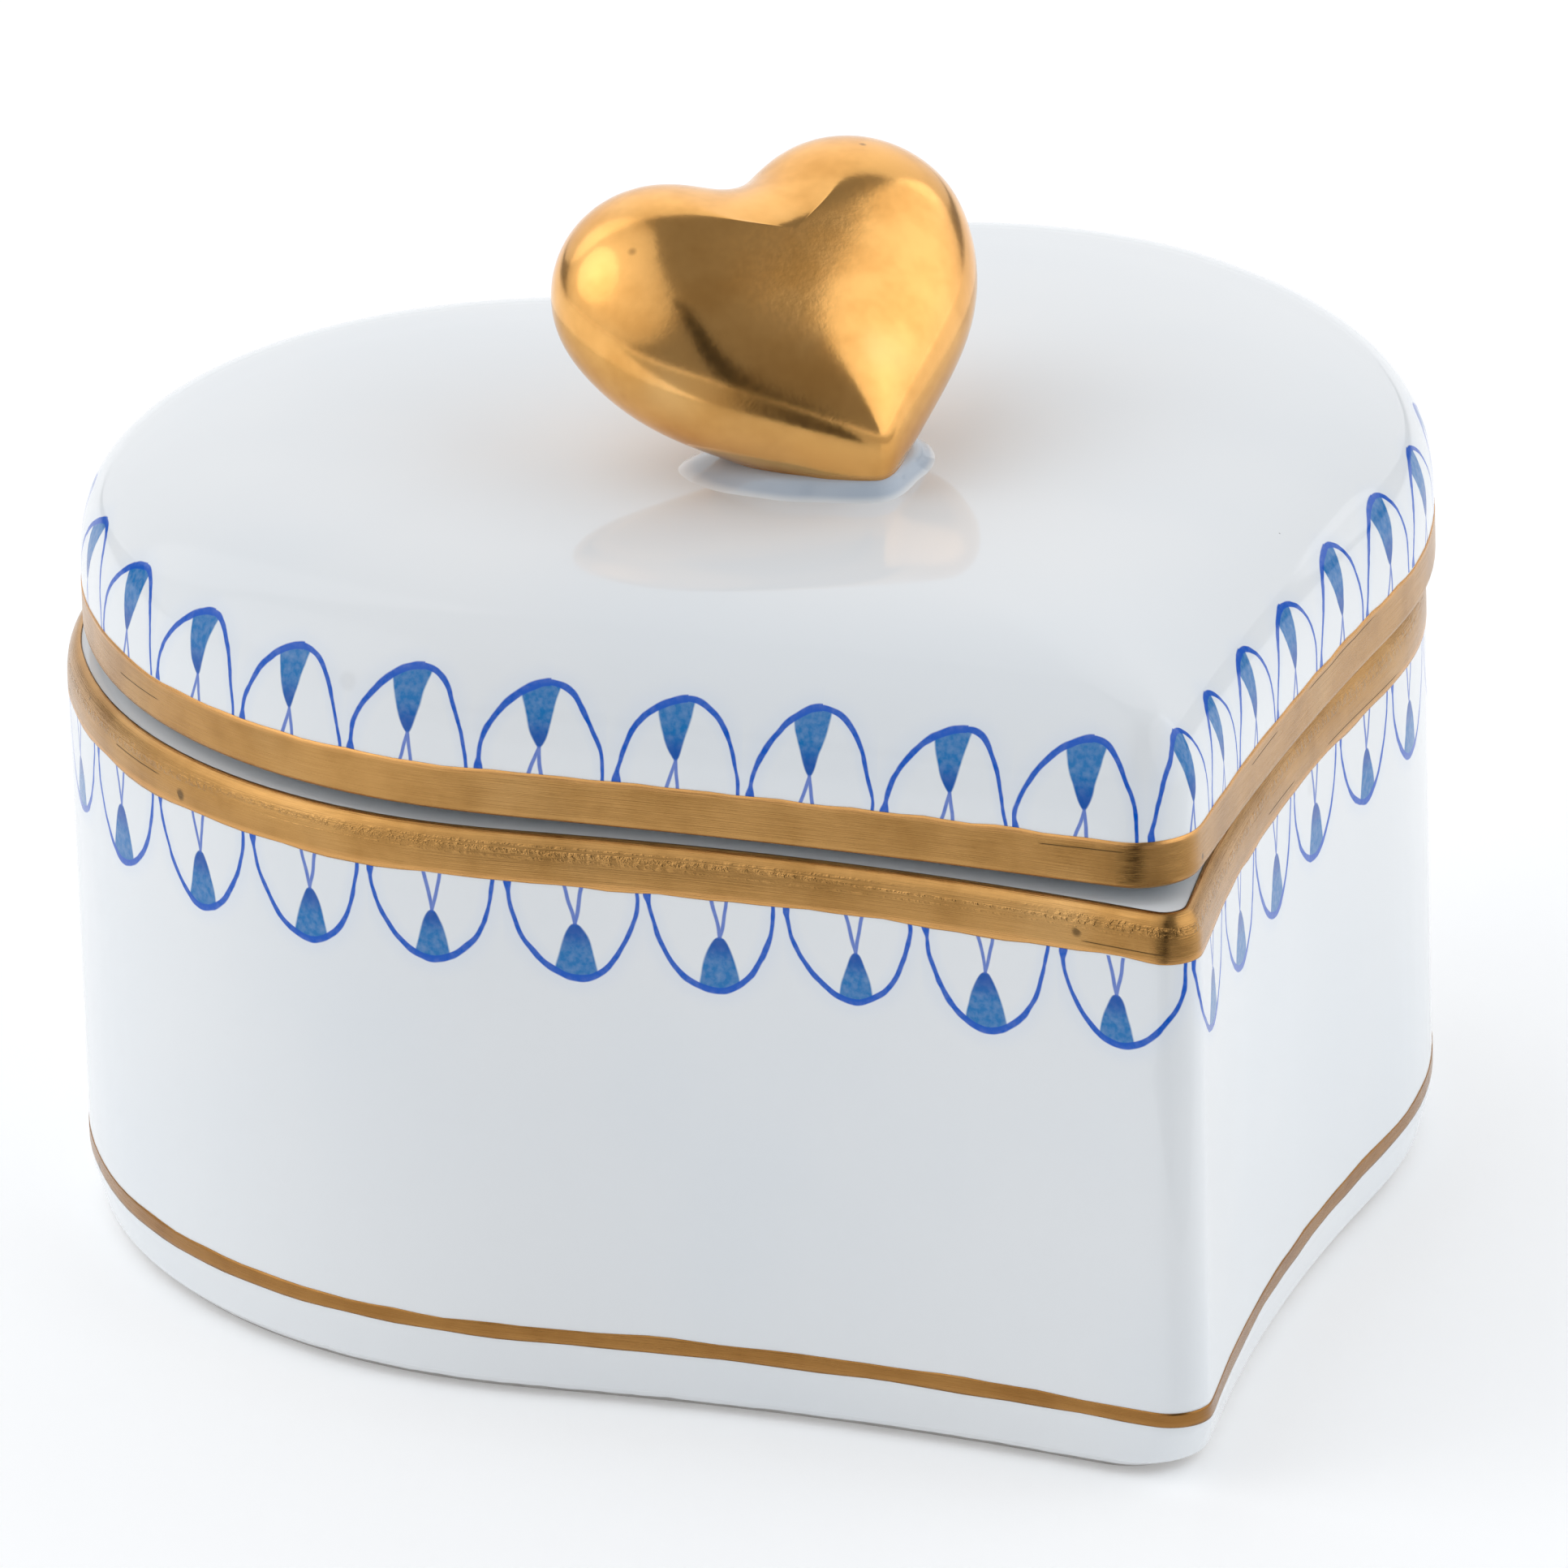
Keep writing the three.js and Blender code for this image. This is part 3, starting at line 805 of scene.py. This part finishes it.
def glazed(name, border=None, bare_foot_with_painted_shade=False, painted_shade_under_knob=False):
    """Porcelain under glaze, with its painting, a pad painted blue-grey as shade under the knob, or a foot
    wiped bare with painted shade at the table.
    """
    finish = Finish(name, IOR=1.5, Specular_IOR_Level=0.3)
    here = finish.here()
    colour = finish.blend(finish.noise(here, 45, 2).ramp(0.35, 0.7) * 0.5, GLAZE, GLAZE_COOL)
    rise = finish.node("ShaderNodeSeparateXYZ", None, {0: here}, output=2) * (1 / MM)
    if painted_shade_under_knob:
        # painted shade: the pad turns dark blue-grey from its outer edge up towards the knob
        colour = finish.blend((rise - pad_top).ramp(-0.93, -0.5) * 0.95, colour, PAD_PAINTED_SHADE)
    if border:
        marks = painted_border(finish, **border)
        grain = finish.noise(marks["shake"], 2.4, 2, 0.5, "2D")
        colour = finish.blend(marks["halo"] * 0.10, colour, HALO)
        colour = finish.blend(marks["wash"] * (0.95 + (grain - 0.5) * 0.3), colour, WASH)
        colour = finish.blend(marks["deep"] * 0.8, colour, WASH_DEEP)
        colour = finish.blend(marks["line"] * (0.97 + (grain - 0.5) * 0.15), colour, COBALT)
    specks = flaws(finish, here, 170, 0.030, 0.10)
    smudges = flaws(finish, here, 60, 0.035, 0.12)
    colour = finish.blend(smudges * 0.10, colour, SMUDGE)
    colour = finish.blend(specks * 0.75, colour, IRON_SPECK)
    roughness = 0.05 + specks * 0.3
    wave = finish.noise(here, 70, 1)
    height = wave - specks * 0.15
    if bare_foot_with_painted_shade:
        # painted shade: the foot's lowest edge is coloured dark grey at the table; the added roughness is
        # the bare body's own
        bare_and_painted_shade = 1 - (rise + (finish.noise(here, 500, 2) - 0.5) * 0.3).ramp(0.3, 0.42)
        clay_in_painted_shade = finish.blend(finish.noise(here, 900, 3), CLAY_IN_PAINTED_SHADE_DARK, CLAY_IN_PAINTED_SHADE_PALE)
        colour = finish.blend(bare_and_painted_shade, colour, clay_in_painted_shade)
        roughness = roughness + bare_and_painted_shade * 0.7
    finish.set(Base_Color=colour, Roughness=roughness, Normal=finish.bump(height, 0.00025, 0.35))
    return finish.material


def flaws(finish, here, scale, radius, share):
    """Small round marks in a few of the cells of a Voronoi pattern."""
    settings = {"voronoi_dimensions": "3D", "feature": "F1"}
    inputs = {"Vector": here, "Scale": scale}
    far = finish.node("ShaderNodeTexVoronoi", settings, inputs, output="Distance")
    chance = finish.node("ShaderNodeTexVoronoi", settings, inputs, output="Color")
    pick = finish.node("ShaderNodeSeparateColor", None, {0: chance}, output=0)
    size = finish.node("ShaderNodeSeparateColor", None, {0: chance}, output=1)
    wide = radius * (0.5 + size)
    return (1 - far.ramp(wide * 0.4, wide)) * pick.maths("LESS_THAN", share)


lid_border = dict(pitch=LID_SCALLOP, lean=0.08, power_left=1.7, power_right=2.1, height=5.2,
                  leaf=dict(tip=1.5, follow=0.6, side=-0.25, power=0.65, width=1.15, splay=0.33, skew=0.6))
bowl_border = dict(pitch=BOWL_SCALLOP, lean=0.0, power_left=1.85, power_right=1.85, height=5.25,
                   leaf=dict(tip=2.1, follow=1.0, side=-0.1, power=0.5, width=1.2, splay=0.45, skew=0.0))
bowl.data.materials.append(glazed("glaze_on_bowl", bowl_border, bare_foot_with_painted_shade=True))
lid.data.materials.append(glazed("glaze_on_lid", lid_border))

# %% [markdown]
# ## The gold
# Burnished fired gold is thin and never even: it clouds where the brush was loaded, shows fine
# streaks along each band, and is worn dark in hairlines.


# %% Brushed gold for the bands, clouded gold for the knob
# Each gold is plain, deep and pale.
KNOB_GOLD = ((0.92, 0.49, 0.15, 1), (0.72, 0.35, 0.09, 1), (0.96, 0.62, 0.27, 1))
# The bands' gold is the knob's gold painted darker, as painted shade on the upright bands; the foot's is
# darker still, as painted shade low down by the table.
BAND_GOLD_PAINTED_SHADE = ((0.52, 0.285, 0.095, 1), (0.37, 0.19, 0.055, 1), (0.64, 0.40, 0.17, 1))
FOOT_GOLD_PAINTED_SHADE = ((0.37, 0.185, 0.055, 1), (0.28, 0.13, 0.035, 1), (0.45, 0.25, 0.09, 1))
BRUSHED_WORN = (0.20, 0.11, 0.035, 1)
ORANGE_EDGE = (0.80, 0.42, 0.15, 1)
SCRATCH = (0.06, 0.04, 0.02, 1)
PIT = (0.05, 0.035, 0.02, 1)


def hairlines(finish, u, v, cell_length, low, high):
    """A thin dark line in some stretches of a band, at its own height between low and high."""
    place = u * (BOWL_SCALLOP / cell_length)
    cell = place.maths("FLOOR")
    lift, start, pick = finish.chances(cell + high)
    along = place - cell
    far = abs(v - (lift * (high - low) + low) - (along - 0.5) * 0.2)
    from_start = along - start * 0.55
    span = from_start.ramp(0.0, 0.03) * (1 - (from_start - 0.36).ramp(0.0, 0.06))
    return (1 - far.ramp(0.012, 0.045)) * span * pick.maths("GREATER_THAN", 0.62)


def gilded(name, tones, banded=True, burnished_edge=None, edge_share=0.55):
    """Fired gold in three tones: brushed along a band, or clouded all over the knob."""
    finish = Finish(name, Metallic=1.0, Roughness=0.2)
    here = finish.here()
    cloud = finish.noise(here, 260, 3, 0.6)
    grain = finish.noise(here, 2600, 2, 0.6)
    plain, deep, pale = tones
    colour = finish.blend(cloud.ramp(0.35, 0.75) * 0.8, plain, deep)
    loaded = finish.noise(here, 120, 2, 0.5)
    colour = finish.blend(loaded.ramp(0.55, 0.8) * 0.35, colour, pale)
    pits = flaws(finish, here, 700, 0.22, 0.05)
    if banded:
        place, u, v = finish.painter()
        along = finish.node("ShaderNodeMapping", None, {"Vector": place, "Scale": (0.9, 9.0, 1)})
        streak = finish.noise(along, 1.6, 3, 0.6, "2D")
        short_lines = hairlines(finish, u, v, 13, -1.9, -0.5)
        long_lines = hairlines(finish, u, v, 29, -0.9, -0.2)
        hairline = short_lines.maths("MAXIMUM", long_lines)
        thin_edge = 1 - (abs(v) + (streak - 0.5) * 0.3).ramp(0.1, 0.45)
        colour = finish.blend((streak - 0.5).ramp(-0.2, 0.35) * 0.4, colour, deep)
        colour = finish.blend(thin_edge * edge_share, colour, ORANGE_EDGE)
        colour = finish.blend(hairline * 0.85, colour, SCRATCH)
        roughness = 0.24 + (streak - 0.5) * 0.22 + hairline * 0.3
        height = streak * 0.6 + cloud * 0.3 + grain * 0.15
        if burnished_edge is not None:
            stretches = finish.noise(along, 0.35, 1, 0.5, "2D").ramp(0.42, 0.56)
            worked = (1 - abs(v - burnished_edge).ramp(0.15, 0.5)) * stretches
            crumbs = finish.noise(here, 2700, 3, 0.7).ramp(0.42, 0.66) * worked
            height = height + crumbs * 1.8
            worn = worked * finish.noise(here, 2300, 3, 0.7).ramp(0.48, 0.7)
            colour = finish.blend(worn * 0.3, colour, BRUSHED_WORN)
            roughness = roughness - worked * 0.1
    else:
        rise = finish.node("ShaderNodeSeparateXYZ", None, {0: here}, output=2) * (1 / MM)
        lip = 1 - (rise + (cloud - 0.5) * 0.3 - pad_top - PAD_HUG).ramp(0.15, 0.4)
        colour = finish.blend(lip * 0.7, colour, ORANGE_EDGE)
        roughness = 0.17 + (cloud - 0.5) * 0.12 + (grain - 0.5) * 0.06 + lip * 0.2
        height = cloud * 0.3 + grain * 0.12
    colour = finish.blend(pits * 0.7, colour, PIT)
    finish.set(Base_Color=colour, Roughness=roughness, Normal=finish.bump(height, 0.00006, 0.5))
    return finish.material


bowl_gold.data.materials.append(gilded("brushed_gold_on_bowl_painted_shade", BAND_GOLD_PAINTED_SHADE, burnished_edge=-1.75))
lid_gold.data.materials.append(gilded("brushed_gold_on_lid_painted_shade", BAND_GOLD_PAINTED_SHADE))
foot_gold.data.materials.append(gilded("brushed_gold_foot_painted_shade", FOOT_GOLD_PAINTED_SHADE, edge_share=0.1))
knob.data.materials.append(gilded("clouded_gold", KNOB_GOLD, banded=False))
pad.data.materials.append(glazed("glaze_on_pad", painted_shade_under_knob=True))

# %% [markdown]
# ## Bodies
# Every piece rides on its body: the bowl and its gilding on the base, the rest on the cover.

# %% Hand the pieces to their bodies
pieces = (
    (bowl, "base", "porcelain", "bowl"),
    (bowl_gold, "base", "gilding", "bowl_rim_gilding"),
    (foot_gold, "base", "foot_gilding", "foot_line_gilding"),
    (lid, "cover", "porcelain", "lid"),
    (lid_gold, "cover", "gilding", "lid_rim_gilding"),
    (pad, "cover", "porcelain", "knob_seat"),
    (knob, "cover", "gilding", "heart_knob"),
)
for piece, body, slot, node in pieces:
    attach(piece, body)
    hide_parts(node)

# %% [markdown]
# ## The table
# White porcelain is shown on pale paper, a little below the foot so that the two never flicker. The
# paper glows faintly, as a sheet does that is also lit from below.

# %% A pale floor
bpy.ops.object.select_all(action="DESELECT")
bpy.ops.mesh.primitive_plane_add(size=12, location=(0, 0, -0.0002))
floor = bpy.context.object
floor.name = "floor"
paper = Finish("pale_paper", Roughness=0.7, Emission_Color=(1, 1, 1, 1), Emission_Strength=0.25)
paper.set(Base_Color=(0.80, 0.81, 0.82, 1))
floor.data.materials.append(paper.material)


# %% [markdown]
# ## Studio light
# Polished gold shows whatever stands round it, so the lights are large plain panels: one to the left
# with a hotter middle, one to the right and one behind. Panels are placed by compass angle from the
# front, and by height, and a grid on each makes it fade towards its edges.


# %% Soft boxes
def towards(azimuth, elevation):
    """A direction, with azimuth 0 at the front and growing to the right, both in degrees."""
    a, e = math.radians(azimuth), math.radians(elevation)
    return Vector((math.sin(a) * math.cos(e), -math.cos(a) * math.cos(e), math.sin(e)))


middle_of_box = Vector((0.0, 0.0, 0.03))  # where every panel is aimed


def soft_box(name, azimuth, elevation, far, width, height, radiance, fade, shape="ELLIPSE"):
    """A panel of a given brightness at its middle, with a grid that fades it towards its edges."""
    light = bpy.data.lights.new(name, "AREA")
    light.shape, light.size, light.size_y = shape, width, height
    light.spread = 2 * math.radians(fade)
    gain = math.tan(light.spread / 2) / (math.tan(light.spread / 2) - light.spread / 2)
    area = width * height * (math.pi / 4 if shape == "ELLIPSE" else 1)
    light.energy = math.pi * area * radiance / gain
    holder = bpy.data.objects.new(name, light)
    bpy.context.scene.collection.objects.link(holder)
    holder.location = middle_of_box + towards(azimuth, elevation) * far
    holder.rotation_euler = towards(azimuth, elevation).to_track_quat("Z", "Y").to_euler()
    holder.visible_camera = False


soft_box("left_soft_box", -105, 40, 1.1, 2.5, 2.5, 1.15, 62)
soft_box("right_soft_box", 60, 22, 1.1, 2.3, 2.0, 1.35, 70)
soft_box("left_hot_middle", -110, 36, 1.05, 0.9, 0.9, 0.6, 62)
soft_box("back_soft_box", 158, 32, 1.4, 3.4, 1.9, 1.02, 64)

world = bpy.data.worlds.new("studio")
bpy.context.scene.world = world
world.use_nodes = True
background = world.node_tree.nodes["Background"]
background.inputs["Color"].default_value = (0.86, 0.88, 0.92, 1)
background.inputs["Strength"].default_value = 0.29
print("lights:", [light.name for light in bpy.data.lights])

# %% [markdown]
# ## What the gold reflects
# Without something dark to reflect, gold looks like yellow plastic. A narrow board of black felt
# stands in front and a grey card lies before the box. The cards are seen in reflections only.

# %% A dark board, and a grey card on the table before the box
BOARD_AZIMUTH, BOARD_FAR, BOARD_HIGH = -27, 1.15, 1.75
BOARD_WIDE = 0.20
bpy.ops.object.select_all(action="DESELECT")
bpy.ops.mesh.primitive_plane_add(size=1, location=(0, 0, 0))
board = bpy.context.object
board.name = "dark_board"
board.data.transform(Matrix.Diagonal((BOARD_WIDE, BOARD_HIGH, 1, 1)))
board_facing = towards(BOARD_AZIMUTH, 0)
board_middle = board_facing * BOARD_FAR + Vector((0, 0, BOARD_HIGH / 2))
board_turn = board_facing.to_track_quat("Z", "Y").to_matrix().to_4x4()
board.matrix_world = Matrix.Translation(board_middle) @ board_turn
felt = Finish("black_felt", Roughness=0.9)
felt.set(Base_Color=(0.01, 0.01, 0.01, 1))
board.data.materials.append(felt.material)
board.visible_camera = False

grey = Finish("grey_card", Roughness=0.9)
grey.set(Base_Color=(0.50, 0.50, 0.50, 1))


def lay_card(name, middle, width, depth, turn, finish):
    """A card on the table that only polished surfaces see."""
    bpy.ops.object.select_all(action="DESELECT")
    bpy.ops.mesh.primitive_plane_add(size=1)
    laid = bpy.context.object
    laid.name = name
    laid.data.transform(Matrix.Diagonal((width, depth, 1, 1)))
    laid.matrix_world = Matrix.Translation(middle) @ Matrix.Rotation(math.radians(turn), 4, "Z")
    laid.data.materials.append(finish.material)
    laid.visible_camera = laid.visible_shadow = laid.visible_diffuse = False


lay_card("grey_card_in_front", (-0.08, -0.30, 0.001), 0.7, 0.46, 0, grey)
strip_middle = board_facing * 0.52 + Vector((0, 0, 0.002))
lay_card("foot_of_board", strip_middle, 0.045, 0.9, BOARD_AZIMUTH, felt)
bpy.context.scene.view_settings.view_transform = "Standard"

# %% [markdown]
# ## The camera
# A long lens from almost a metre away keeps the box's sides nearly parallel. The camera stands left
# of the tip, looks down by a quarter of a right angle and leans by under two degrees.

# %% The camera
AZIMUTH, ELEVATION, ROLL = math.radians(-25.095), math.radians(22.425), math.radians(-1.745)
CAMERA_FAR, LENS = 0.9233, 372.7
look_at = Vector((11.787, 19.0 - centre_y, 11.5)) * MM
back = Vector((math.sin(AZIMUTH) * math.cos(ELEVATION), -math.cos(AZIMUTH) * math.cos(ELEVATION),
               math.sin(ELEVATION)))
level_right = Vector((math.cos(AZIMUTH), math.sin(AZIMUTH), 0))
upright = back.cross(level_right)
right = math.cos(ROLL) * level_right + math.sin(ROLL) * upright
up = math.cos(ROLL) * upright - math.sin(ROLL) * level_right
camera = bpy.data.objects.new("camera", bpy.data.cameras.new("camera"))
bpy.context.scene.collection.objects.link(camera)
axes = Matrix((right, up, back)).transposed().to_4x4()
camera.matrix_world = Matrix.Translation(look_at + back * CAMERA_FAR) @ axes
camera.data.lens, camera.data.sensor_width = LENS, 36
bpy.context.scene.camera = camera
print("camera at", [round(value, 3) for value in camera.matrix_world.translation])
